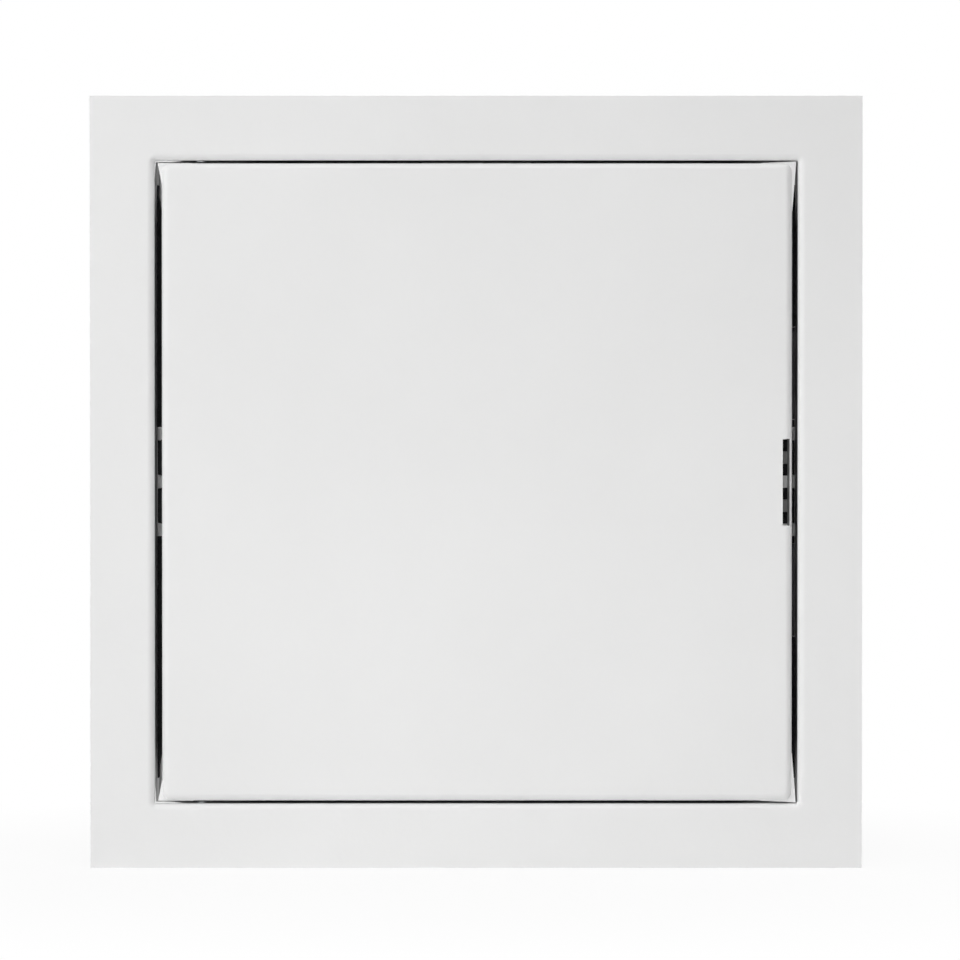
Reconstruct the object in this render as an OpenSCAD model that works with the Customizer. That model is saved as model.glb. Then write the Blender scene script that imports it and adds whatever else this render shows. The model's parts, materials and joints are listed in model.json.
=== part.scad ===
// Flush steel access panel: a folded frame, a hinged door with a pull slot, a hidden
// pivot hinge at the left and two magnetic catches at the right.
// It stands upright as it does in a wall: X to the right, Z up, Y into the wall.
// The origin is the middle of the opening, on the surface that the flange lies on.

/* [Frame] */
// Clear width of the opening, the panel's nominal width
opening_w = 200; // [180:5:400]
// Clear height of the opening, the panel's nominal height
opening_h = 200; // [180:5:400]
// Width of the flange that covers the edge of the cut-out
flange_w = 20; // [14:1:40]
// Depth of the frame's walls behind the flange
frame_depth = 32; // [32:1:60]
// Sheet thickness of the frame
frame_sheet = 1; // [0.8:0.1:1.4]
// Outside radius of the visible folds of frame and door
fold_r = 2.2; // [1.8:0.1:2.5]
// Inside radius of the opening's corners
opening_r = 0.6; // [0.3:0.1:1]

/* [Fixing holes] */
// Diameter of the fixing holes in the walls
fix_d = 5; // [3.5:0.5:6]
// Distance between the two fixing holes of a wall
fix_pitch = 107; // [104:1:116]
// Depth of the fixing holes behind the flange
fix_y = 22; // [20:1:24]

/* [Door] */
// Sheet thickness of the door
door_sheet = 0.8; // [0.6:0.1:1]
// Depth of the door's folded edges, from its face
door_return = 12; // [11:0.5:13]
// Gap between frame and door at the hinge edge
hinge_gap = 2.2; // [2:0.1:4]
// Gap between frame and door at the pull edge
latch_gap = 1.7; // [1:0.1:2.5]
// Gap between frame and door at the top and the bottom
end_gap = 0.8; // [0.7:0.1:1.5]
// Outside radius of the door's corners
door_corner_r = 2.6; // [2.6:0.1:4]
// Length of the pull slot
slot_l = 27; // [15:1:32]
// Width of the pull slot
slot_w = 2.2; // [1.5:0.1:4]

/* [Hinge] */
// Distance of the pivot from the door's hinge edge
hinge_inset = 12; // [10:0.5:12.5]
// Depth of the pivot behind the door's face
hinge_depth = 6; // [5.5:0.1:6.3]
// Angle to which the door opens, in degrees
door_open = 110; // [90:5:110]
// Diameter of the pivot pins
pin_d = 3.5; // [3:0.1:3.6]
// Diameter of the pins' heads
pin_head_d = 7; // [6:0.1:7]
// Height of the pins' heads
pin_head_t = 1.6; // [1:0.1:2.5]
// Depth of the groove that takes the clip
pin_groove = 0.4; // [0.3:0.1:0.6]
// Length of pin beyond the clip
pin_tail = 1.6; // [1:0.1:3]
// Wall of the bushes
bush_wall = 1; // [0.8:0.1:1.2]
// Diameter of the bushes' flanges
bush_flange_d = 7; // [6.6:0.1:7]
// Thickness of the bushes' flanges
bush_flange_t = 1; // [0.8:0.1:1.5]
// Outer diameter of the clips
clip_d = 7; // [6:0.1:7.6]
// Width of the clips' mouths
clip_mouth = 2.3; // [1.8:0.1:2.4]
// Thickness of the clips
clip_t = 0.6; // [0.4:0.1:0.8]

/* [Stop brackets] */
// Sheet thickness of the stop brackets
stop_sheet = 1; // [0.8:0.1:1.2]
// Outside radius of the brackets' folds
stop_fold_r = 1.6; // [1.4:0.1:1.8]
// Length of a bracket along its wall
stop_l = 34; // [34:0.5:36]
// Length of a bracket's leg on the wall
stop_leg = 13; // [12:0.5:16]
// Width of a finger
finger_w = 3.8; // [3:0.1:5]
// Reach of the fingers that the door closes on
finger_reach = 8; // [5:0.5:12]
// Reach of the cropped fingers at the hinge edge
finger_short = 1.8; // [1.8:0.1:2]
// Diameter of the rivets
rivet_d = 3.2; // [2.4:0.2:4]
// Diameter of the rivets' domed heads
rivet_head_d = 6; // [5:0.5:7]
// Height of the rivets' domed heads
rivet_head_t = 1.3; // [0.8:0.1:2]
// Diameter of the rivets' flattened tails
rivet_tail_d = 4.8; // [4.2:0.2:6]
// Height of the rivets' flattened tails
rivet_tail_t = 1; // [0.6:0.1:2]
// Diameter of the recess in the rivets' heads
rivet_bore = 1.8; // [1.2:0.1:2.2]
// Depth of the recess in the rivets' heads
rivet_bore_t = 0.8; // [0.4:0.1:1]
// Distance of the rivets from the fold
rivet_back = 6.5; // [6.3:0.1:7.5]
// Thickness of the foam pads behind the fingers
pad_w = 3; // [2:0.1:3.2]
// Reach of the pad at the hinge edge
pad_short = 2.8; // [2:0.1:2.9]
// Gap between a pad and the fingers that it reaches between
pad_space = 0.2; // [0.1:0.1:0.5]
// Width of the rubber bumpers at the pull edge
bumper_w = 4; // [3:0.1:6]
// Distance of the bumpers from the frame's wall
bumper_in = 2; // [1.6:0.1:2.4]

/* [Magnetic catches] */
// Height of the catches above and below the middle
catch_z = 34; // [33.5:0.5:34.5]
// Depth from wall to front of a catch body
catch_w = 12; // [11.5:0.1:13]
// Depth of a catch body behind its front
catch_h = 12.5; // [12:0.5:15]
// Length of the block that holds the magnet
catch_block_l = 18; // [17:0.5:18.5]
// Length of each screw ear
ear_l = 5.5; // [5:0.1:5.5]
// Thickness of the screw ears
ear_t = 3; // [2:0.1:4]
// Width of the slots in the ears
ear_slot_w = 3.2; // [3.1:0.1:3.6]
// Travel that the ear slots allow
ear_travel = 2; // [1:0.5:4]
// Radius of the rounded edges of a catch body
catch_r = 1; // [0.5:0.1:1.5]
// Thickness of a magnet between its pole plates
magnet_t = 5; // [4:0.1:5.5]
// Length of a magnet
magnet_l = 13; // [10:0.5:14]
// Depth of a magnet
magnet_h = 8; // [6:0.5:9]
// Thickness of a pole plate
pole_t = 1.2; // [1:0.1:1.4]
// How far the pole plates stand proud of the body
pole_proud = 1; // [0.6:0.1:1.2]
// Distance of the magnet's middle from the wall
pole_x = 7.2; // [7:0.1:7.4]
// Length of the door's strike tabs
strike_l = 22; // [18:0.5:24]
// Reach of the strike tabs from the door's edge
strike_reach = 11; // [10:0.5:12]
// Relief at each end of a strike tab
tab_relief = 0.6; // [0.4:0.1:1.5]
// Shank diameter of the catch screws
screw_d = 2.9; // [2.5:0.1:3]
// Head diameter of the catch screws
screw_head_d = 5; // [4.5:0.1:5.2]
// Head height of the catch screws
screw_head_t = 1.6; // [1.2:0.1:2]
// Length of the arms of the cross recess
recess_l = 2.6; // [2:0.1:3]
// Width of the arms of the cross recess
recess_w = 0.6; // [0.4:0.1:0.8]
// Depth of the cross recess
recess_h = 0.8; // [0.4:0.1:1]
// Length of screw that shows outside the frame's wall
screw_out = 3.5; // [3:0.5:6]

/* [Corner gussets] */
// Length of a gusset along each wall
gusset_leg = 30; // [24:1:32]
// Sheet thickness of the gussets
gusset_sheet = 1; // [0.8:0.1:1.2]
// Outside radius of the gussets' folds
gusset_fold_r = 1.6; // [1.4:0.1:1.8]
// Width of a gusset at the end of its curved edge
gusset_tip = 3; // [2.5:0.1:5]
// Depth of the folded edges of a gusset
gusset_edge = 9; // [6:0.5:10]
// Distance of the gussets from the back edge of the frame
gusset_back = 12; // [11:0.5:12]

/* [Foam seals] */
// Thickness of the seals that the door's edges close on
seal_t = 3; // [2:0.1:4]
// Thickness of the seals at the hinge edge
seal_short = 1.8; // [1:0.1:2]
// Depth of the bevel on the seals at the hinge edge
seal_bevel = 1.9; // [1.8:0.1:2.5]
// Width of the seals, into the wall
seal_w = 5; // [4:0.1:5.2]
// Thickness of a seal's thin lip, less than the door's end gap
seal_lip = 0.5; // [0.3:0.1:0.5]
// Length of the lip at an end away from the pivots
seal_lip_l = 3; // [2:0.5:5]
// Length over which a seal thins to its lip
seal_taper = 16; // [12:1:18]
// Distance from the corner at which a seal ends
seal_end = 7; // [6:0.5:10]
// Gap between a seal and the piece at its end
seal_space = 0.5; // [0.3:0.1:2]
// Room between the open door's hinge edge and the thick part of a seal
seal_pivot = 0.8; // [0.6:0.1:2]

/* [Clearances] */
// Gap between the closed door and its stops and poles
stop_clear = 0.3; // [0.2:0.05:0.5]
// Radial clearance of the turning pivots
run_fit = 0.05; // [0.02:0.01:0.1]
// Radial clearance of fixed pins, rivets and bushes
seat_fit = 0.05; // [0.02:0.01:0.1]
// Gap between pieces that slide past each other
side_clear = 0.3; // [0.2:0.05:0.4]

/* [Hidden] */
$fn = 20;
half_w = opening_w / 2;
half_h = opening_h / 2;
face_y = -frame_sheet;
door_w = opening_w - hinge_gap - latch_gap;
door_h = opening_h - 2 * end_gap;
door_x = (hinge_gap - latch_gap) / 2;
door_back_y = face_y + door_return;
hinge_x = door_x - door_w / 2 + hinge_inset;
hinge_y = face_y + hinge_depth;
bush_d = pin_d + 2 * run_fit + 2 * bush_wall;
bush_end_z = half_h - side_clear;
return_in_z = door_h / 2 - door_sheet;
clip_z = return_in_z - bush_flange_t - side_clear;
stop_y = door_back_y + stop_clear;
finger_pitch = (stop_l - finger_w) / 2;
rivet_y = stop_y + stop_fold_r + rivet_back;
catch_y = stop_y + pole_proud;
ear_z = (catch_block_l + ear_l) / 2;
catch_mid_y = catch_y + catch_h / 2;
catch_end_z = catch_z + ear_z + ear_l / 2;
gusset_y = frame_depth - gusset_back;
seal_lip_start = seal_end + seal_lip_l;
hinge_swing = (door_return - hinge_depth) * sin(door_open) - hinge_inset * cos(door_open);
seal_pivot_end = half_w + hinge_x + hinge_swing + seal_pivot;
past = 1;
tip_r = 0.1;

RIGHT = 0;
TOP = -90;
LEFT = 180;
BOTTOM = 90;

// Half the opening across a side, and half the length of that side
function side_reach(side) = side == RIGHT || side == LEFT ? half_w : half_h;
function side_half(side) = side == RIGHT || side == LEFT ? half_h : half_w;

// Rectangle with rounded corners, its lower left corner at the origin
module rounded_rect(w, h, r) {
    translate([r, 0]) square([w - 2 * r, h]);
    translate([0, r]) square([w, h - 2 * r]);
    for (x = [r, w - r], y = [r, h - r]) translate([x, y]) circle(r);
}

// Local frame of one side: X outwards, Y into the wall, Z along the side
module on_side(side, reach) {
    rotate([0, side, 0]) translate([reach, 0, 0]) children();
}

// Cross-section of a folded sheet: its outer corner at the origin, one leg along -X
// and the other along +Y
module fold(leg_x, leg_y, sheet, r_out) {
    if (leg_x > r_out) translate([-leg_x, 0]) square([leg_x - r_out, sheet]);
    if (leg_y > r_out) translate([-sheet, r_out]) square([sheet, leg_y - r_out]);
    translate([-r_out, r_out]) intersection() {
        difference() {
            circle(r_out);
            circle(r_out - sheet);
        }
        translate([0, -r_out]) square(r_out);
    }
}

// A section turned through one corner of a rectangle, about an axis that runs into the wall
module corner_turn(x, z) {
    translate([x, face_y, z]) mirror([x < 0 ? 1 : 0, 0, 0]) mirror([0, 0, z > 0 ? 1 : 0])
        rotate([-90, 0, 0]) rotate_extrude(angle = 90) children();
}

// Section of a wall of the frame with the rounded fold to the flange
module frame_section() {
    mirror([1, 0]) fold(fold_r, frame_depth + frame_sheet, frame_sheet, fold_r);
}

module frame_side(side) {
    length = 2 * (side_half(side) - opening_r);
    on_side(side, side_reach(side)) translate([0, face_y, 0])
        linear_extrude(length, center = true) frame_section();
}

// Holes along a side's own outward direction
module wall_hole(d, y, z) {
    translate([-past, y, z]) rotate([0, 90, 0]) cylinder(d = d, h = frame_sheet + 2 * past);
}

module frame() {
    inner_w = opening_w + 2 * fold_r;
    inner_h = opening_h + 2 * fold_r;
    outer_w = opening_w + 2 * flange_w;
    outer_h = opening_h + 2 * flange_w;
    color("whitesmoke") difference() {
        union() {
            rotate([90, 0, 0]) linear_extrude(frame_sheet) difference() {
                square([outer_w, outer_h], center = true);
                translate([-inner_w / 2, -inner_h / 2]) rounded_rect(inner_w, inner_h, opening_r + fold_r);
            }
            for (side = [RIGHT, TOP, LEFT, BOTTOM]) frame_side(side);
            for (sx = [-1, 1], sz = [-1, 1])
                corner_turn(sx * (half_w - opening_r), sz * (half_h - opening_r))
                    translate([opening_r, 0]) frame_section();
        }
        for (side = [RIGHT, TOP, LEFT, BOTTOM]) on_side(side, side_reach(side)) {
            for (z = [-1, 1]) wall_hole(fix_d, fix_y, z * fix_pitch / 2);
            for (z = [-1, 1]) wall_hole(rivet_d + 2 * seat_fit, rivet_y, z * finger_pitch / 2);
        }
        on_side(RIGHT, half_w) for (z = [-1, 1], e = [-1, 1])
            wall_hole(screw_d + 2 * seat_fit, catch_mid_y, z * catch_z + e * ear_z);
        translate([hinge_x, hinge_y, -half_h - frame_sheet - past])
            cylinder(d = pin_d + 2 * seat_fit, h = opening_h + 2 * frame_sheet + 2 * past);
    }
}

// The folded edge of a gusset, along the side wall
module gusset_flange(length) {
    translate([0, 0, -gusset_leg]) linear_extrude(length)
        fold(gusset_fold_r, gusset_edge, gusset_sheet, gusset_fold_r);
}

// A corner plate with a curved free edge and two edges folded back along the walls
module corner_gusset(sx, sz) {
    inset = gusset_fold_r;
    strip = gusset_leg - inset;
    color("whitesmoke") translate([sx * half_w, gusset_y, sz * half_h])
        mirror([sx < 0 ? 1 : 0, 0, 0]) mirror([0, 0, sz < 0 ? 1 : 0]) {
            translate([0, gusset_sheet, 0]) rotate([90, 0, 0]) linear_extrude(gusset_sheet)
                difference() {
                    translate([-gusset_leg, -gusset_leg]) square(strip);
                    translate([-gusset_leg, -gusset_leg]) circle(gusset_leg - gusset_tip);
                }
            gusset_flange(strip);
            mirror([1, 0, -1]) gusset_flange(strip);
        }
}

// An angle bracket on one wall, with three fingers in front of the closed door's edge
module stop_bracket(side, reach) {
    color("whitesmoke") on_side(side, side_reach(side)) difference() {
        translate([0, stop_y, 0]) {
            translate([-stop_sheet, stop_fold_r + pad_w, -stop_l / 2])
                cube([stop_sheet, stop_leg - stop_fold_r - pad_w, stop_l]);
            for (i = [-1, 0, 1]) translate([0, 0, i * finger_pitch - finger_w / 2])
                linear_extrude(finger_w) fold(reach, stop_leg, stop_sheet, stop_fold_r);
        }
        for (z = [-1, 1])
            translate([-stop_sheet, 0, 0]) wall_hole(rivet_d + 2 * seat_fit, rivet_y, z * finger_pitch / 2);
    }
}

module right_stop() { stop_bracket(RIGHT, finger_reach); }
module top_stop() { stop_bracket(TOP, finger_reach); }
module bottom_stop() { stop_bracket(BOTTOM, finger_reach); }
module left_bracket() { stop_bracket(LEFT, finger_short); }

// Spherical cap as a half section, its flat side on the X axis
module cap_section(d, h) {
    r = (d * d / 4 + h * h) / (2 * h);
    intersection() {
        translate([0, h - r]) circle(r);
        square([d / 2, h]);
    }
}

// A rivet along +X: domed head inside the bracket, flattened tail outside the wall
module rivet() {
    grip = stop_sheet + frame_sheet;
    rotate([0, 90, 0]) rotate_extrude() {
        square([rivet_d / 2, grip]);
        mirror([0, 1]) difference() {
            cap_section(rivet_head_d, rivet_head_t);
            translate([0, rivet_head_t - rivet_bore_t]) square([rivet_bore / 2, rivet_bore_t]);
        }
        translate([0, grip]) square([rivet_tail_d / 2, rivet_tail_t]);
    }
}

module bracket_rivets() {
    color("silver") for (side = [RIGHT, TOP, LEFT, BOTTOM])
        on_side(side, side_reach(side)) for (z = [-1, 1])
            translate([-stop_sheet, rivet_y, z * finger_pitch / 2]) rivet();
}

// Local frame of one catch: X outwards from the wall's inner face, Z along the catch
module at_catch(up) {
    translate([half_w, catch_y, up * catch_z]) children();
}

module catch_body(up) {
    pocket_t = magnet_t + 2 * pole_t;
    color("dimgray") at_catch(up) difference() {
        union() {
            translate([-catch_w, 0, -catch_block_l / 2]) linear_extrude(catch_block_l)
                rounded_rect(catch_w, catch_h, catch_r);
            translate([-ear_t, 0, 0]) rotate([90, 0, 90]) linear_extrude(ear_t)
                translate([0, -ear_z - ear_l / 2])
                    rounded_rect(catch_h, 2 * ear_z + ear_l, 2 * catch_r);
        }
        translate([-pole_x - pocket_t / 2, -past, -magnet_l / 2])
            cube([pocket_t, magnet_h + past, magnet_l]);
        for (e = [-1, 1]) translate([-ear_t - past, catch_h / 2, e * ear_z]) rotate([90, 0, 90])
            linear_extrude(ear_t + 2 * past) {
                for (y = [-1, 1]) translate([y * ear_travel / 2, 0]) circle(d = ear_slot_w);
                square([ear_travel, ear_slot_w], center = true);
            }
    }
}

module catch_magnet(up) {
    color("dimgray") at_catch(up) translate([-pole_x - magnet_t / 2, pole_proud / 2, -magnet_l / 2])
        cube([magnet_t, magnet_h - pole_proud / 2, magnet_l]);
}

// A steel plate beside the magnet, with bevelled corners on its proud edge
module pole_plate(up, side) {
    x = side > 0 ? magnet_t / 2 : -magnet_t / 2 - pole_t;
    color("lightsteelblue") at_catch(up) translate([x - pole_x, 0, 0]) rotate([90, 0, 90])
        linear_extrude(pole_t) polygon([
            [magnet_h, -magnet_l / 2], [magnet_h, magnet_l / 2], [0, magnet_l / 2],
            [-pole_proud, magnet_l / 2 - pole_proud], [-pole_proud, pole_proud - magnet_l / 2],
            [0, -magnet_l / 2]]);
}

module upper_catch_body() { catch_body(1); }
module lower_catch_body() { catch_body(-1); }
module upper_catch_magnet() { catch_magnet(1); }
module lower_catch_magnet() { catch_magnet(-1); }
module upper_outer_pole() { pole_plate(1, 1); }
module upper_inner_pole() { pole_plate(1, -1); }
module lower_outer_pole() { pole_plate(-1, 1); }
module lower_inner_pole() { pole_plate(-1, -1); }

// A pan head tapping screw along +X, with a cross recess
module catch_screw() {
    shank = ear_t + frame_sheet + screw_out - screw_d;
    difference() {
        rotate([0, 90, 0]) rotate_extrude() {
            square([screw_d / 2, shank]);
            translate([0, shank]) polygon([[0, 0], [screw_d / 2, 0], [tip_r, screw_d], [0, screw_d]]);
            mirror([0, 1]) cap_section(screw_head_d, screw_head_t);
        }
        for (a = [0, 90]) rotate([a, 0, 0])
            translate([-screw_head_t - past, -recess_l / 2, -recess_w / 2])
                cube([past + recess_h, recess_l, recess_w]);
    }
}

module catch_screws() {
    color("silver") for (up = [-1, 1], e = [-1, 1])
        at_catch(up) translate([-ear_t, catch_h / 2, e * ear_z]) catch_screw();
}

// A foam strip on one half of a wall, thinning to a lip that runs on to the corner
module foam_seal(side, end, start, lip_start) {
    from = start + seal_space;
    lip = side_half(side) - lip_start;
    last = side_half(side) - seal_end;
    color("black") on_side(side, side_reach(side)) mirror([0, 0, end < 0 ? 1 : 0])
        translate([0, stop_y + seal_w, 0]) rotate([90, 0, 0]) linear_extrude(seal_w)
            polygon([[0, from], [-seal_t, from], [-seal_t, lip - seal_taper], [-seal_lip, lip],
                [-seal_lip, last], [0, last]]);
}

// A seal at the hinge edge, bevelled to clear the door's edge as it swings
module hinge_seal(end) {
    difference() {
        foam_seal(LEFT, end, stop_l / 2, seal_lip_start);
        color("black") on_side(LEFT, half_w) translate([0, stop_y, 0])
            linear_extrude(2 * half_h, center = true)
                polygon([[-seal_short, -past], [-seal_short, 0], [-seal_t, seal_bevel],
                    [-seal_t - past, seal_bevel], [-seal_t - past, -past]]);
    }
}

module left_upper_seal() { hinge_seal(-1); }
module left_lower_seal() { hinge_seal(1); }
module right_upper_seal() { foam_seal(RIGHT, 1, catch_end_z, seal_lip_start); }
module right_lower_seal() { foam_seal(RIGHT, -1, catch_end_z, seal_lip_start); }
module top_left_seal() { foam_seal(TOP, 1, stop_l / 2, seal_pivot_end); }
module top_right_seal() { foam_seal(TOP, -1, stop_l / 2, seal_lip_start); }
module bottom_left_seal() { foam_seal(BOTTOM, -1, stop_l / 2, seal_pivot_end); }
module bottom_right_seal() { foam_seal(BOTTOM, 1, stop_l / 2, seal_lip_start); }

// A foam pad behind a bracket's fingers, which reaches between them to the wall
module stop_pad(side, reach) {
    between = finger_pitch - finger_w - 2 * pad_space;
    color("black") on_side(side, side_reach(side)) translate([0, stop_y + stop_fold_r + pad_w, 0])
        rotate([90, 0, 0]) linear_extrude(pad_w) {
            translate([-reach, -stop_l / 2]) square([reach - stop_sheet, stop_l]);
            for (z = [-1, 1]) translate([-reach, (z * finger_pitch - between) / 2]) square([reach, between]);
        }
}

// Rubber bumpers on the pad at the pull edge, level with its fingers
module pull_bumpers() {
    color("gray") on_side(RIGHT, half_w) for (z = [-1, 1])
        translate([-finger_reach, stop_y, (z * finger_pitch - bumper_w) / 2])
            cube([finger_reach - bumper_in, stop_fold_r, bumper_w]);
}

module right_stop_pad() { stop_pad(RIGHT, finger_reach); }
module top_stop_pad() { stop_pad(TOP, finger_reach); }
module bottom_stop_pad() { stop_pad(BOTTOM, finger_reach); }
module left_bracket_pad() { stop_pad(LEFT, pad_short); }

// Local frame of one pivot: Z from the middle of the panel outwards
module at_pivot(up) {
    translate([hinge_x, hinge_y, 0]) mirror([0, 0, up < 0 ? 1 : 0]) children();
}

module hinge_pin(up) {
    tip = clip_z - clip_t - pin_tail;
    r = pin_d / 2;
    head_z = half_h + frame_sheet;
    color("silver") at_pivot(up) rotate_extrude() difference() {
        union() {
            translate([0, tip]) polygon([[0, 0], [r - pin_groove, 0], [r, pin_groove], [r, head_z - tip],
                [0, head_z - tip]]);
            translate([0, head_z]) cap_section(pin_head_d, pin_head_t);
        }
        translate([r - pin_groove, clip_z - clip_t]) square([pin_d, clip_t]);
    }
}

module hinge_bush(up) {
    bore = pin_d / 2 + run_fit;
    flange_z = return_in_z - bush_flange_t;
    color("dimgray") at_pivot(up) rotate_extrude() {
        translate([bore, flange_z]) square([bush_flange_d / 2 - bore, bush_flange_t]);
        translate([bore, flange_z]) square([bush_wall, bush_end_z - flange_z]);
    }
}

// An open ring that snaps into the pin's groove from the back
module pin_clip(up) {
    neck = pin_d / 2 - pin_groove;
    color("silver") at_pivot(up) translate([0, 0, clip_z - clip_t]) difference() {
        cylinder(d = clip_d, h = clip_t);
        translate([0, 0, -past]) cylinder(r = neck + seat_fit, h = clip_t + 2 * past);
        translate([-clip_mouth / 2, 0, -past]) cube([clip_mouth, clip_d, clip_t + 2 * past]);
    }
}

module upper_hinge_pin() { hinge_pin(1); }
module lower_hinge_pin() { hinge_pin(-1); }
module upper_hinge_bush() { hinge_bush(1); }
module lower_hinge_bush() { hinge_bush(-1); }
module upper_pin_clip() { pin_clip(1); }
module lower_pin_clip() { pin_clip(-1); }

// Section of a folded edge of the door, its outer face at X 0
module door_section() {
    fold(fold_r, door_return, door_sheet, fold_r);
}

module door_edge(length) {
    translate([0, face_y, 0]) linear_extrude(length, center = true) door_section();
}

// A tab folded in from the pull edge, which the magnet draws on
module strike_tab() {
    translate([0, door_back_y, 0]) mirror([0, 1, 0]) linear_extrude(strike_l, center = true)
        fold(strike_reach, fold_r, door_sheet, fold_r);
}

module door_panel() {
    flat_w = door_w - 2 * fold_r;
    flat_h = door_h - 2 * fold_r;
    edge_w = door_w - 2 * door_corner_r;
    edge_h = door_h - 2 * door_corner_r;
    tab_cut = strike_l + 2 * tab_relief;
    color("white") difference() {
        translate([door_x, 0, 0]) {
            translate([-flat_w / 2, face_y + door_sheet, -flat_h / 2]) rotate([90, 0, 0])
                linear_extrude(door_sheet) rounded_rect(flat_w, flat_h, door_corner_r - fold_r);
            on_side(TOP, door_h / 2) door_edge(edge_w);
            on_side(BOTTOM, door_h / 2) door_edge(edge_w);
            on_side(LEFT, door_w / 2) door_edge(edge_h);
            for (sx = [-1, 1], sz = [-1, 1]) corner_turn(sx * edge_w / 2, sz * edge_h / 2)
                translate([door_corner_r, 0]) door_section();
            on_side(RIGHT, door_w / 2) {
                difference() {
                    door_edge(edge_h);
                    for (up = [-1, 1])
                        translate([-past - door_sheet, door_back_y - fold_r, up * catch_z - tab_cut / 2])
                            cube([2 * past + door_sheet, fold_r + past, tab_cut]);
                }
                for (up = [-1, 1]) translate([0, 0, up * catch_z]) strike_tab();
            }
        }
        translate([door_x + door_w / 2 - door_sheet - slot_w, face_y - past, -slot_l / 2])
            cube([slot_w, fold_r + past, slot_l]);
        translate([hinge_x, hinge_y, -half_h]) cylinder(d = bush_d + 2 * seat_fit, h = opening_h);
    }
}

frame();
corner_gusset(-1, 1);  // corner_gusset_top_left
corner_gusset(1, 1);  // corner_gusset_top_right
corner_gusset(-1, -1);  // corner_gusset_bottom_left
corner_gusset(1, -1);  // corner_gusset_bottom_right
right_stop();
top_stop();
bottom_stop();
left_bracket();
bracket_rivets();
upper_catch_body();
lower_catch_body();
upper_catch_magnet();
lower_catch_magnet();
upper_outer_pole();
upper_inner_pole();
lower_outer_pole();
lower_inner_pole();
left_upper_seal();
left_lower_seal();
right_upper_seal();
right_lower_seal();
top_left_seal();
top_right_seal();
bottom_left_seal();
bottom_right_seal();
right_stop_pad();
top_stop_pad();
bottom_stop_pad();
left_bracket_pad();
pull_bumpers();
catch_screws();
upper_hinge_pin();
lower_hinge_pin();
upper_pin_clip();
lower_pin_clip();
door_panel();
upper_hinge_bush();
lower_hinge_bush();
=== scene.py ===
"""Flush steel access panel: finishes, small hardware detail, studio light and camera."""
import json
import math

import bmesh
import bpy
from mathutils import Matrix, Vector, noise


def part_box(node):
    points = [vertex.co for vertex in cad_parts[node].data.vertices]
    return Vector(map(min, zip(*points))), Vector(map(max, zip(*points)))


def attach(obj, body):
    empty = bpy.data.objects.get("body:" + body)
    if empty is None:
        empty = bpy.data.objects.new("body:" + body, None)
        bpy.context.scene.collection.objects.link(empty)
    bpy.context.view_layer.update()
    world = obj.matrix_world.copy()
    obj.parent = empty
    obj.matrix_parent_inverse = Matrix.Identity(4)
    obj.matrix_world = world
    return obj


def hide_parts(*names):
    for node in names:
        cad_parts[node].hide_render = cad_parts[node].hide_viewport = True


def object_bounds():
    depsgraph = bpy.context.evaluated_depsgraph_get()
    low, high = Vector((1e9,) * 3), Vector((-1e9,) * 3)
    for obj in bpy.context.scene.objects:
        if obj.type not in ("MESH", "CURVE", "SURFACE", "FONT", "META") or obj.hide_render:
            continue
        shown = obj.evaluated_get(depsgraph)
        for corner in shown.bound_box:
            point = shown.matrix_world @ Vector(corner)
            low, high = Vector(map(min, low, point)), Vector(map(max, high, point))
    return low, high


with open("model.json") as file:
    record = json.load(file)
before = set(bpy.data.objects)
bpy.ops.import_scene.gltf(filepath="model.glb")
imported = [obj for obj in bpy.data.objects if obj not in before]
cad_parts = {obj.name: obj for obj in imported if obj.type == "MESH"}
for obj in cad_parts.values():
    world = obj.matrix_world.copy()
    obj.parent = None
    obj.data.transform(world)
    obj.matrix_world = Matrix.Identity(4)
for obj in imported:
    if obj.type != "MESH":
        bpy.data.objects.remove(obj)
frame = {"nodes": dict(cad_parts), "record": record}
cad_low, cad_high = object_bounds()

FRAME_BODY = "frame_assembly"
DOOR_BODY = "door_assembly"
scene = bpy.context.scene
scene.view_settings.view_transform = "Standard"

# Camera: almost straight on, a little above the middle, so that the gap at the top opens to view
FACE_Y = cad_low.y
CAMERA_DISTANCE = 1.40
FIELD_WIDTH = 0.2984
CAMERA_RISE = math.radians(0.75)
AIM = Vector((0.0012, FACE_Y, 0.0007))


def make_camera():
    data = bpy.data.cameras.new("photo_camera")
    data.lens = data.sensor_width * CAMERA_DISTANCE / FIELD_WIDTH
    data.clip_start = 0.05
    data.clip_end = 40
    camera = bpy.data.objects.new("photo_camera", data)
    scene.collection.objects.link(camera)
    back = Vector((0, -math.cos(CAMERA_RISE), math.sin(CAMERA_RISE)))
    camera.location = AIM + back * CAMERA_DISTANCE
    camera.rotation_euler = (-back).to_track_quat("-Z", "Y").to_euler()
    scene.camera = camera


def softbox(name, place, aim, width, height, watts):
    data = bpy.data.lights.new(name, "AREA")
    data.shape = "RECTANGLE"
    data.size = width
    data.size_y = height
    data.energy = watts
    lamp = bpy.data.objects.new(name, data)
    scene.collection.objects.link(lamp)
    lamp.location = place
    lamp.rotation_euler = (Vector(aim) - Vector(place)).to_track_quat("-Z", "Y").to_euler()
    lamp.visible_camera = False


# Lamps: name, place, aim, width, height and watts
LAMPS = (
    ("left_softbox", (-1.2, -0.85, 0.45), (0, 0, 0), 0.7, 0.7, 9.1),
    ("top_softbox", (0.1, -0.7, 1.4), (0, 0, 0), 0.8, 0.8, 10.3),
    ("front_fill", (-0.12, -1.75, 0.10), (0, 0, 0), 0.15, 0.15, 2.5),
    ("floor_fill", (-0.01, -0.28, -0.092), (0, 0, -0.092), 0.4, 0.05, 0.115),
    ("right_softbox", (1.3, 0.3, 0.5), (0, 0, 0), 0.6, 0.6, 4.5),
    ("back_softbox", (0.35, 1.4, 1.1), (0, 0, 0), 0.8, 0.8, 6.5),
)

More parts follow.
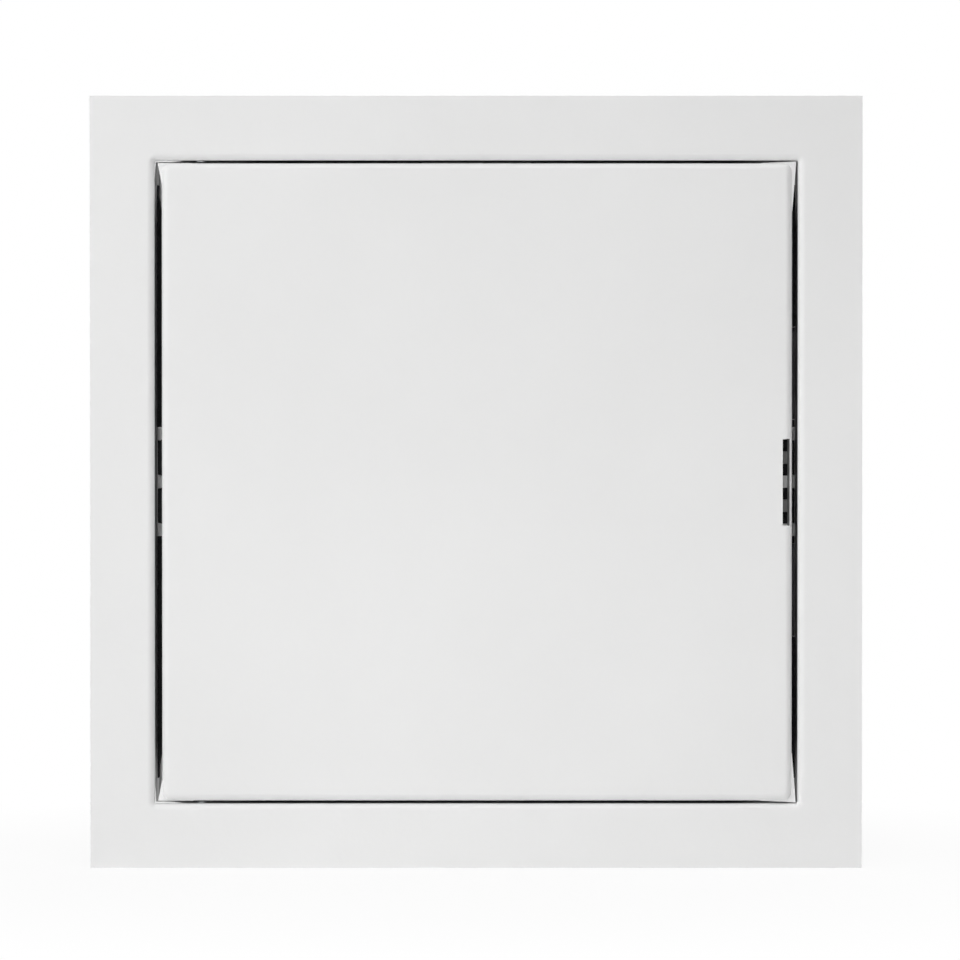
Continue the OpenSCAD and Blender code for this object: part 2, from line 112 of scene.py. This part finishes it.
# Studio: the tent's glow in front of and behind the panel, the direction in which it is full, the
# floor's half width, and its share of plain white, which grows from the panel's shadow outwards
FRONT_GLOW = 0.0
BACK_GLOW = 0.19
FULL_GLOW = 0.5
FLOOR_REACH = 8.0
FLOOR_WHITE = 0.88
SHADOW_REACH = 0.13
WHITE_REACH = 0.3

# Mesh work
MERGE = 1e-6
FLAT_ANGLE = math.radians(0.5)
TURN_STEPS = 20

# Painted shade on the frame's walls behind the fold, where the gaps lie in shadow, and on the door beside
# its pull slot
SHADE_WALL = 0.1005
SHADE_FRONT = (0.0006, 0.0012)
SHADE_BACK = (0.0122, 0.0108)
SHADE_END = (0.0945, 0.0800)
SLOT_SIDE = 0.0958
SLOT_WALL = 0.0976
SLOT_DEPTH = (-0.0003, 0.0001)
SLOT_REACH = (0.0165, 0.0145)

# Foam and rubber: rounding of their edges, and spacing of the foam's points, size of its cells and
# depth of its dips
FOAM_EDGE = 0.0002
FOAM_PITCH = 0.0008
FOAM_CELL = 0.0011
FOAM_DIP = 0.00012
BUMPER_EDGE = 0.0005
BUMPER_STEPS = 4
EDGE_STEPS = 2

# Foam is cut to fit: the seals run on up to the brackets, and the pull edge's pad up to the catches
SEAL_OVER = 0.00045
PULL_PAD = "right_stop_pad"
PAD_REST = 0.00005

# Catch screws, as the part has them
SCREW_HEAD_H = 0.0016
SCREW_HEAD_R = 0.0025
CORE_R = 0.0011
THREAD_R = 0.00144
THREAD_PITCH = 0.0011
POINT_L = 0.0024
POINT_TIP = 0.03

# Spot welds of the corner gussets: radius and height of their rings, and their places
WELD_PROFILE = ((0, 0.00002), (0.0009, 0.00004), (0.0015, 0.00012), (0.0019, 0.00009),
                (0.0023, -0.00002), (0, -0.00002))
WELD_PLACES = (0.009, 0.021)
WELD_BACK = 0.0035
FRAME_SHEET = 0.001
GUSSET_SHEET = 0.001

# Weld metal in the corners of the door and of the frame: its front and back, how far it stands out
# beside the door, how far it runs out along each edge, and how deep it sits in the door's sheet
WELD_FRONT = 0.0003
WELD_REAR = 0.0016
BEAD_OUT = {"hinge": 0.0012, "pull": 0.0012, "level": 0.0005, "wall": 0.0004}
BEAD_RUN = {"hinge": 0.0064, "pull": 0.0150, "level": 0.0098}
BEAD_ROOT = 0.0004
BEAD_TURN = 0.0022
BEAD_EDGE = 0.00008


class Nodes:
    """Short hand for building one node tree."""

    def __init__(self, tree):
        self.tree = tree
        tree.nodes.clear()

    def add(self, kind, inputs=None, **settings):
        node = self.tree.nodes.new(kind)
        for key, value in settings.items():
            setattr(node, key, value)
        for key, value in (inputs or {}).items():
            if isinstance(value, bpy.types.NodeSocket):
                self.tree.links.new(value, node.inputs[key])
            else:
                node.inputs[key].default_value = value
        return node

    def place(self):
        return self.add("ShaderNodeTexCoord").outputs["Object"]

    def noise(self, where, scale, detail=2.0, roughness=0.5):
        inputs = {"Vector": where, "Scale": scale, "Detail": detail, "Roughness": roughness}
        return self.add("ShaderNodeTexNoise", inputs).outputs["Fac"]

    def spread(self, value, low, high):
        """A 0 to 1 value taken to the range from low to high."""
        inputs = {"Value": value, "To Min": low, "To Max": high}
        return self.add("ShaderNodeMapRange", inputs).outputs["Result"]

    def between(self, value, start, end):
        """0 at start and 1 at end."""
        inputs = {"Value": value, "From Min": start, "From Max": end}
        return self.add("ShaderNodeMapRange", inputs).outputs["Result"]

    def maths(self, operation, *values):
        return self.add("ShaderNodeMath", dict(enumerate(values)), operation=operation).outputs[0]

    def mix(self, share, first, second):
        """Two colours: the first at share 0, the second at share 1."""
        node = self.add("ShaderNodeMix", {"Factor": share}, data_type="RGBA")
        colours = [socket for socket in node.inputs if socket.type == "RGBA"]
        self.tree.links.new(first, colours[0])
        self.tree.links.new(second, colours[1])
        return [socket for socket in node.outputs if socket.type == "RGBA"][0]

    def ramp(self, value, *stops):
        """Colours along a value, as pairs of position and colour."""
        node = self.add("ShaderNodeValToRGB", {"Fac": value})
        elements = node.color_ramp.elements
        while len(elements) < len(stops):
            elements.new(0.5)
        for element, (position, colour) in zip(elements, stops):
            element.position = position
            element.color = (*colour, 1)
        return node.outputs["Color"]

    def bump(self, height, strength, distance, normal=None):
        inputs = {"Height": height, "Strength": strength, "Distance": distance}
        if normal is not None:
            inputs["Normal"] = normal
        return self.add("ShaderNodeBump", inputs).outputs["Normal"]

    def light_path(self):
        """1 for rays that show the backdrop: from the camera, in gloss and through clear things."""
        path = self.add("ShaderNodeLightPath").outputs
        seen = self.maths("MAXIMUM", path["Is Camera Ray"], path["Is Glossy Ray"])
        return self.maths("MAXIMUM", seen, path["Is Transmission Ray"])


def finish_of(name):
    material = bpy.data.materials.new(name)
    material.use_nodes = True
    return material, Nodes(material.node_tree)


def close_finish(material, nodes, **inputs):
    """Principled surface with the given sockets, named with _ for spaces."""
    wanted = {key.replace("_", " "): value for key, value in inputs.items()}
    surface = nodes.add("ShaderNodeBsdfPrincipled", wanted)
    nodes.add("ShaderNodeOutputMaterial", {"Surface": surface.outputs["BSDF"]})
    return material


def gap_wall_painted_shade(nodes, where):
    """Mask of painted shade: 1 on the opening's walls, from behind the folded edge to the stops, but not
    in the corners.
    """
    parts = nodes.add("ShaderNodeSeparateXYZ", {"Vector": where}).outputs
    across = nodes.maths("ABSOLUTE", parts["X"])
    upright = nodes.maths("ABSOLUTE", parts["Z"])
    inside = nodes.maths("LESS_THAN", nodes.maths("MAXIMUM", across, upright), SHADE_WALL)
    front = nodes.between(parts["Y"], *SHADE_FRONT)
    back = nodes.between(parts["Y"], *SHADE_BACK)
    along = nodes.between(nodes.maths("MINIMUM", across, upright), *SHADE_END)
    band = nodes.maths("MULTIPLY", front, nodes.maths("MULTIPLY", back, along))
    return nodes.maths("MULTIPLY", inside, band)


def slot_edge_painted_shade(nodes, where):
    """Mask of painted shade: 1 on the inner side of the door's edge that faces the pull slot."""
    parts = nodes.add("ShaderNodeSeparateXYZ", {"Vector": where}).outputs
    inside = nodes.maths("LESS_THAN", parts["X"], SLOT_WALL)
    near = nodes.maths("MULTIPLY", inside, nodes.maths("GREATER_THAN", parts["X"], SLOT_SIDE))
    deep = nodes.between(parts["Y"], *SLOT_DEPTH)
    along = nodes.between(nodes.maths("ABSOLUTE", parts["Z"]), *SLOT_REACH)
    return nodes.maths("MULTIPLY", near, nodes.maths("MULTIPLY", deep, along))


def powder_coat(name, painted_shade=None):
    """Satin white powder coat, with faint orange peel; where a mask is given, near black is painted in as
    shade.
    """
    material, nodes = finish_of(name)
    where = nodes.place()
    film = nodes.noise(where, 14, 3)
    peel = nodes.noise(where, 620, 2, 0.45)
    grit = nodes.noise(where, 2600, 1)
    colour = nodes.ramp(film, (0.3, (0.845, 0.845, 0.843)), (0.7, (0.87, 0.87, 0.868)))
    if painted_shade:
        # painted shade: the coat goes near black on the mask, standing in for the shadow in the gaps
        painted_shade_colour = nodes.ramp(film, (0.3, (0.08, 0.08, 0.082)), (0.7, (0.11, 0.11, 0.112)))
        colour = nodes.mix(painted_shade(nodes, where), colour, painted_shade_colour)
    soft = nodes.bump(peel, 0.10, 0.00025)
    return close_finish(material, nodes, Base_Color=colour, Roughness=nodes.spread(grit, 0.40, 0.52),
                        IOR=1.5, Normal=nodes.bump(grit, 0.03, 0.0001, soft))


def zinc_plate():
    """Bright zinc plate, a little cloudy, with a trace of blue."""
    material, nodes = finish_of("zinc_plate")
    where = nodes.place()
    cloud = nodes.noise(where, 260, 4, 0.6)
    grain = nodes.noise(where, 3200, 2)
    colour = nodes.ramp(cloud, (0.3, (0.54, 0.56, 0.59)), (0.7, (0.70, 0.71, 0.71)))
    return close_finish(material, nodes, Base_Color=colour, Metallic=1.0,
                        Roughness=nodes.spread(cloud, 0.26, 0.44), Normal=nodes.bump(grain, 0.08, 0.0001))


def rivet_aluminium():
    """Plain drawn aluminium, dulled by handling."""
    material, nodes = finish_of("rivet_aluminium")
    where = nodes.place()
    dull = nodes.noise(where, 420, 3)
    colour = nodes.ramp(dull, (0.3, (0.62, 0.62, 0.63)), (0.7, (0.76, 0.76, 0.77)))
    return close_finish(material, nodes, Base_Color=colour, Metallic=1.0,
                        Roughness=nodes.spread(dull, 0.34, 0.5),
                        Normal=nodes.bump(nodes.noise(where, 2800, 2), 0.06, 0.0001))


def catch_moulding():
    """Black moulded plastic with a fine eroded tool texture."""
    material, nodes = finish_of("catch_moulding")
    where = nodes.place()
    tool = nodes.noise(where, 2400, 2, 0.6)
    shade = nodes.noise(where, 120, 2)
    colour = nodes.ramp(shade, (0.3, (0.028, 0.028, 0.03)), (0.7, (0.042, 0.042, 0.044)))
    return close_finish(material, nodes, Base_Color=colour, Roughness=nodes.spread(tool, 0.42, 0.62),
                        Normal=nodes.bump(tool, 0.18, 0.0002))


def sintered_ferrite():
    """Dark sintered magnet with a grainy ground face."""
    material, nodes = finish_of("sintered_ferrite")
    where = nodes.place()
    grain = nodes.noise(where, 1900, 4, 0.7)
    colour = nodes.ramp(grain, (0.35, (0.045, 0.045, 0.05)), (0.7, (0.095, 0.095, 0.1)))
    return close_finish(material, nodes, Base_Color=colour, Roughness=nodes.spread(grain, 0.55, 0.8),
                        Normal=nodes.bump(grain, 0.25, 0.0002))


def black_nylon():
    """Black nylon with a soft shine."""
    material, nodes = finish_of("black_nylon")
    where = nodes.place()
    flow = nodes.noise(where, 240, 2)
    colour = nodes.ramp(flow, (0.3, (0.032, 0.032, 0.034)), (0.7, (0.046, 0.046, 0.048)))
    return close_finish(material, nodes, Base_Color=colour, Roughness=nodes.spread(flow, 0.38, 0.5),
                        Normal=nodes.bump(nodes.noise(where, 1500, 1), 0.05, 0.0001))


def closed_cell_foam():
    """Black closed cell foam: small cut cells over its skin."""
    material, nodes = finish_of("closed_cell_foam")
    where = nodes.place()
    cells = nodes.add("ShaderNodeTexVoronoi", {"Vector": where, "Scale": 1500.0}).outputs["Distance"]
    patch = nodes.noise(where, 300, 2)
    colour = nodes.ramp(patch, (0.3, (0.014, 0.014, 0.015)), (0.7, (0.028, 0.028, 0.03)))
    return close_finish(material, nodes, Base_Color=colour, Roughness=nodes.spread(patch, 0.82, 0.95),
                        Specular_IOR_Level=0.15, Normal=nodes.bump(cells, 0.4, 0.0004))


def moulded_rubber():
    """Grey moulded rubber with a dusty bloom."""
    material, nodes = finish_of("moulded_rubber")
    where = nodes.place()
    bloom = nodes.noise(where, 520, 3, 0.6)
    colour = nodes.ramp(bloom, (0.3, (0.28, 0.28, 0.28)), (0.7, (0.36, 0.36, 0.36)))
    return close_finish(material, nodes, Base_Color=colour, Roughness=nodes.spread(bloom, 0.62, 0.8),
                        Normal=nodes.bump(nodes.noise(where, 2600, 2), 0.1, 0.0001))


def make_finishes():
    return {
        "white_coat": powder_coat("white_powder_coat"),
        "zinc_steel": zinc_plate(),
        "rivet_metal": rivet_aluminium(),
        "catch_plastic": catch_moulding(),
        "ferrite": sintered_ferrite(),
        "nylon": black_nylon(),
        "seal_foam": closed_cell_foam(),
        "bumper_rubber": moulded_rubber(),
    }


def dress_nodes():
    for row in frame["record"]["subparts"]:
        for place in frame["nodes"][row["node"]].material_slots:
            place.material = finishes[row["material_slot"]]
    # painted shade in the coat of the frame's gap walls and of the door's edge behind the pull slot
    for node, painted_shade in (("frame", gap_wall_painted_shade), ("door_panel", slot_edge_painted_shade)):
        for place in frame["nodes"][node].material_slots:
            place.material = powder_coat(node + "_powder_coat", painted_shade)


def nodes_of(slot):
    return [row["node"] for row in frame["record"]["subparts"] if row["material_slot"] == slot]


def add_piece(name, bm, slot, replaced=(), body=FRAME_BODY):
    """Makes one finished piece of the mesh; it moves with the frame, or with the body given."""
    mesh = bpy.data.meshes.new(name)
    bm.to_mesh(mesh)
    bm.free()
    mesh.materials.append(finishes[slot])
    piece = bpy.data.objects.new(name, mesh)
    scene.collection.objects.link(piece)
    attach(piece, body)
    if replaced:
        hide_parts(*replaced)
    return piece


def solid_copy(node):
    """A CAD solid's mesh, merged, with its flat faces whole again."""
    bm = bmesh.new()
    bm.from_mesh(frame["nodes"][node].data)
    bmesh.ops.remove_doubles(bm, verts=bm.verts, dist=MERGE)
    bmesh.ops.dissolve_limit(bm, angle_limit=FLAT_ANGLE, verts=bm.verts, edges=bm.edges)
    return bm


def soften_edges(bm, radius, segments):
    bmesh.ops.bevel(bm, geom=bm.edges[:], offset=radius, affect="EDGES", segments=segments, profile=0.5,
                    clamp_overlap=True, material=-1)


def slice_up(bm, pitch):
    """Cuts the mesh along all three axes, to give its skin points to move."""
    for axis in range(3):
        places = [v.co[axis] for v in bm.verts]
        normal = Vector((0, 0, 0))
        normal[axis] = 1
        count = int((max(places) - min(places)) / pitch)
        for step in range(1, count + 1):
            point = normal * (min(places) + step * pitch)
            bmesh.ops.bisect_plane(bm, geom=bm.verts[:] + bm.edges[:] + bm.faces[:], dist=MERGE,
                                   plane_co=point, plane_no=normal)


def run_on(bm, extra):
    """Carries a strip's end nearest the middle on, along its longest side."""
    spans = [max(v.co[axis] for v in bm.verts) - min(v.co[axis] for v in bm.verts) for axis in range(3)]
    axis = spans.index(max(spans))
    nearest = min(abs(v.co[axis]) for v in bm.verts)
    for vert in bm.verts:
        if abs(vert.co[axis]) < nearest + MERGE:
            vert.co[axis] -= math.copysign(extra, vert.co[axis])


def pad_ends(bm):
    """Two blocks that carry the pull edge's pad on from its bracket to the catches."""
    low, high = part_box(PULL_PAD)
    ends = [high.z + PAD_REST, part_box("upper_catch_body")[0].z - PAD_REST]
    for up in (-1, 1):
        sides = [(low.x, high.x), (low.y, high.y), sorted(up * end for end in ends)]
        middle = Vector([sum(side) / 2 for side in sides])
        size = Vector([side[1] - side[0] for side in sides])
        bmesh.ops.create_cube(bm, size=1.0, matrix=Matrix.LocRotScale(middle, None, size))


def foam_strip(node):
    """Foam in a CAD strip's place: soft cut edges and a skin that dips between its cells."""
    bm = solid_copy(node)
    if node.endswith("_seal"):
        run_on(bm, SEAL_OVER)
    if node == PULL_PAD:
        pad_ends(bm)
    soften_edges(bm, FOAM_EDGE, EDGE_STEPS)
    slice_up(bm, FOAM_PITCH)
    bm.normal_update()
    for vert in bm.verts:
        dip = 0.5 + 0.5 * noise.noise(vert.co / FOAM_CELL)
        vert.co -= vert.normal * FOAM_DIP * dip
    for face in bm.faces:
        face.smooth = True
    strip = add_piece(node + "_foam", bm, "seal_foam", [node])


def rubber_bumpers(node):
    bm = solid_copy(node)
    soften_edges(bm, BUMPER_EDGE, BUMPER_STEPS)
    for face in bm.faces:
        face.smooth = True
    add_piece(node + "_rubber", bm, "bumper_rubber", [node])


def thread_turns(bm, start, length):
    """A helical ridge along +X round the axis through start, thinning out over the point."""
    profile = [bm.verts.new(start + Vector((x * THREAD_PITCH, 0, r)))
               for x, r in ((0.0, CORE_R - MERGE), (0.3, THREAD_R), (0.6, CORE_R - MERGE))]
    face = bm.faces.new(profile)
    turns = int((length - THREAD_PITCH) / THREAD_PITCH)
    steps = turns * TURN_STEPS
    bmesh.ops.spin(bm, geom=[face] + face.edges[:] + face.verts[:], cent=start, axis=(1, 0, 0),
                   dvec=(THREAD_PITCH / TURN_STEPS, 0, 0), angle=math.tau * turns, steps=steps)


def screw_core(bm, start, length):
    """A plain round core along +X, closed at both ends."""
    outline = ((0, 0), (0, CORE_R), (length - POINT_L, CORE_R), (length, CORE_R), (length, 0))
    profile = [bm.verts.new(start + Vector((x, 0, r))) for x, r in outline]
    edges = [bm.edges.new(pair) for pair in zip(profile, profile[1:])]
    bmesh.ops.spin(bm, geom=profile + edges, cent=start, axis=(1, 0, 0), angle=math.tau, steps=TURN_STEPS,
                   use_merge=True)


def threaded_screws(node):
    """The catches' screws: their CAD heads on pointed, threaded shanks."""
    low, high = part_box(node)
    catch_low, catch_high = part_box("upper_catch_body")
    seat_x = low.x + SCREW_HEAD_H
    middle = (catch_low + catch_high) / 2
    ear = high.z - SCREW_HEAD_R - middle.z
    bm = bmesh.new()
    bm.from_mesh(frame["nodes"][node].data)
    bmesh.ops.remove_doubles(bm, verts=bm.verts, dist=MERGE)
    bmesh.ops.bisect_plane(bm, geom=bm.verts[:] + bm.edges[:] + bm.faces[:], dist=MERGE,
                           plane_co=(seat_x + MERGE, 0, 0), plane_no=(1, 0, 0), clear_outer=True)
    bmesh.ops.holes_fill(bm, edges=bm.edges[:], sides=0)
    for place in (middle.z - ear, middle.z + ear, -middle.z - ear, -middle.z + ear):
        start = Vector((seat_x, middle.y, place))
        length = high.x - seat_x
        old = set(bm.verts)
        screw_core(bm, start, length)
        thread_turns(bm, start, length)
        bmesh.ops.remove_doubles(bm, verts=[v for v in bm.verts if v not in old], dist=MERGE)
        for vert in (v for v in bm.verts if v not in old):
            share = min(1.0, max(POINT_TIP, (high.x - vert.co.x) / POINT_L))
            vert.co.yz = start.yz + (vert.co.yz - start.yz) * share
    bmesh.ops.recalc_face_normals(bm, faces=bm.faces)
    add_piece("threaded_catch_screws", bm, "zinc_steel", [node])


def weld_mark(bm, place, outward):
    """One shallow spot weld: a ring pressed round a dimple."""
    tilt = Vector((0, 0, 1)).rotation_difference(outward).to_matrix().to_4x4()
    profile = [bm.verts.new((r, 0, h)) for r, h in WELD_PROFILE]
    edges = [bm.edges.new(pair) for pair in zip(profile, profile[1:])]
    bmesh.ops.spin(bm, geom=profile + edges, cent=(0, 0, 0), axis=(0, 0, 1), angle=math.tau,
                   steps=TURN_STEPS, use_merge=True)
    fresh = [v for v in bm.verts if not v.tag]
    bmesh.ops.transform(bm, matrix=Matrix.Translation(place) @ tilt, verts=fresh)
    for vert in fresh:
        vert.tag = True


def spot_welds():
    """Marks of the welds that hold the corner gussets, outside the walls and inside their flanges."""
    bm = bmesh.new()
    wall_in = -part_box("left_bracket")[0].x
    wall_out = wall_in + FRAME_SHEET
    for node in (n for n in frame["nodes"] if n.startswith("corner_gusset")):
        low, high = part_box(node)
        middle = (low + high) / 2
        sx = math.copysign(1, middle.x)
        sz = math.copysign(1, middle.z)
        for along in WELD_PLACES:
            for reach, turn in ((wall_out, 1), (wall_in - GUSSET_SHEET, -1)):
                row_y = high.y - WELD_BACK
                weld_mark(bm, (sx * reach, row_y, sz * (wall_in - along)), Vector((sx * turn, 0, 0)))
                weld_mark(bm, (sx * (wall_in - along), row_y, sz * reach), Vector((0, 0, sz * turn)))
    bmesh.ops.remove_doubles(bm, verts=bm.verts, dist=MERGE)
    bmesh.ops.recalc_face_normals(bm, faces=bm.faces)
    for face in bm.faces:
        face.smooth = True
    add_piece("spot_weld_marks", bm, "white_coat")


def corner_bead(bm, corner, inward, outline):
    """A flat bead of weld in a corner: its outline, measured inwards from the corner, made deep."""
    verts = [bm.verts.new(corner + Vector((inward.x * x, WELD_FRONT, inward.z * z))) for x, z in outline]
    solid = bmesh.ops.extrude_face_region(bm, geom=[bm.faces.new(verts)])["geom"]
    moved = [item for item in solid if isinstance(item, bmesh.types.BMVert)]
    bmesh.ops.translate(bm, verts=moved, vec=(0, WELD_REAR - WELD_FRONT, 0))


def finish_beads(name, bm, body):
    bmesh.ops.recalc_face_normals(bm, faces=bm.faces)
    soften_edges(bm, BEAD_EDGE, EDGE_STEPS)
    add_piece(name, bm, "white_coat", body=body)


def corner_welds():
    """The welded corners: they fill the ends of the gaps and run out along the edges."""
    low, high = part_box("door_panel")
    wall = -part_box("left_bracket")[0].x
    door = bmesh.new()
    opening = bmesh.new()
    for side, x, inward_x in (("hinge", low.x, 1), ("pull", high.x, -1)):
        over = BEAD_OUT["level"] if side == "pull" else 0
        outline = ((-BEAD_OUT[side], -over), (BEAD_RUN["level"], 0), (BEAD_RUN["level"], BEAD_ROOT),
                   (BEAD_TURN, BEAD_ROOT), (BEAD_ROOT, BEAD_TURN), (BEAD_ROOT, BEAD_RUN[side]),
                   (0, BEAD_RUN[side]))
        for z in (low.z, high.z):
            inward = Vector((inward_x, 0, -math.copysign(1, z)))
            corner_bead(door, Vector((x, 0, z)), inward, outline)
            if side == "hinge":
                corner = Vector((-wall, 0, math.copysign(wall, z)))
                corner_bead(opening, corner, inward,
                            ((0, 0), (BEAD_RUN["level"], 0), (BEAD_RUN["level"] / 2, BEAD_OUT["level"]),
                             (BEAD_OUT["wall"], BEAD_OUT["level"]), (0, BEAD_RUN["hinge"])))
    finish_beads("door_corner_welds", door, DOOR_BODY)
    finish_beads("frame_corner_welds", opening, FRAME_BODY)


def make_floor():
    """White studio floor under the panel; it keeps the panel's shadow."""
    bm = bmesh.new()
    bmesh.ops.create_grid(bm, x_segments=1, y_segments=1, size=FLOOR_REACH,
                          matrix=Matrix.Translation((0, 0, cad_low.z)))
    mesh = bpy.data.meshes.new("studio_floor")
    bm.to_mesh(mesh)
    bm.free()
    floor = bpy.data.objects.new("studio_floor", mesh)
    scene.collection.objects.link(floor)
    material, nodes = finish_of("studio_floor_white")
    matt = nodes.add("ShaderNodeBsdfDiffuse", {"Color": (0.9, 0.9, 0.9, 1)})
    glow = nodes.add("ShaderNodeEmission", {"Color": (1, 1, 1, 1), "Strength": 1.0})
    reach = nodes.add("ShaderNodeVectorMath", {0: nodes.place()}, operation="LENGTH")
    past = nodes.between(reach.outputs["Value"], SHADOW_REACH, WHITE_REACH)
    share = nodes.maths("MULTIPLY", nodes.light_path(), nodes.spread(past, FLOOR_WHITE, 1.0))
    both = nodes.add("ShaderNodeMixShader", {0: share, 1: matt.outputs[0], 2: glow.outputs[0]})
    nodes.add("ShaderNodeOutputMaterial", {"Surface": both.outputs[0]})
    mesh.materials.append(material)


def make_world():
    """White to the camera; to the panel a tent that is open towards the lamps and glows behind."""
    world = bpy.data.worlds.new("studio_tent")
    world.use_nodes = True
    nodes = Nodes(world.node_tree)
    sky = nodes.add("ShaderNodeTexCoord").outputs["Generated"]
    way = nodes.add("ShaderNodeSeparateXYZ", {"Vector": sky})
    behind = nodes.between(way.outputs["Y"], 0.0, FULL_GLOW)
    glow = nodes.spread(behind, FRONT_GLOW, BACK_GLOW)
    tent = nodes.add("ShaderNodeBackground", {"Color": (1, 1, 1, 1), "Strength": glow})
    white = nodes.add("ShaderNodeBackground", {"Color": (1, 1, 1, 1), "Strength": 1.0})
    both = nodes.add("ShaderNodeMixShader",
                     {0: nodes.light_path(), 1: tent.outputs[0], 2: white.outputs[0]})
    nodes.add("ShaderNodeOutputWorld", {"Surface": both.outputs[0]})
    scene.world = world


make_camera()
make_world()
make_floor()
for lamp in LAMPS:
    softbox(*lamp)
finishes = make_finishes()
dress_nodes()
for strip in nodes_of("seal_foam"):
    foam_strip(strip)
for bumper in nodes_of("bumper_rubber"):
    rubber_bumpers(bumper)
threaded_screws("catch_screws")
spot_welds()
corner_welds()
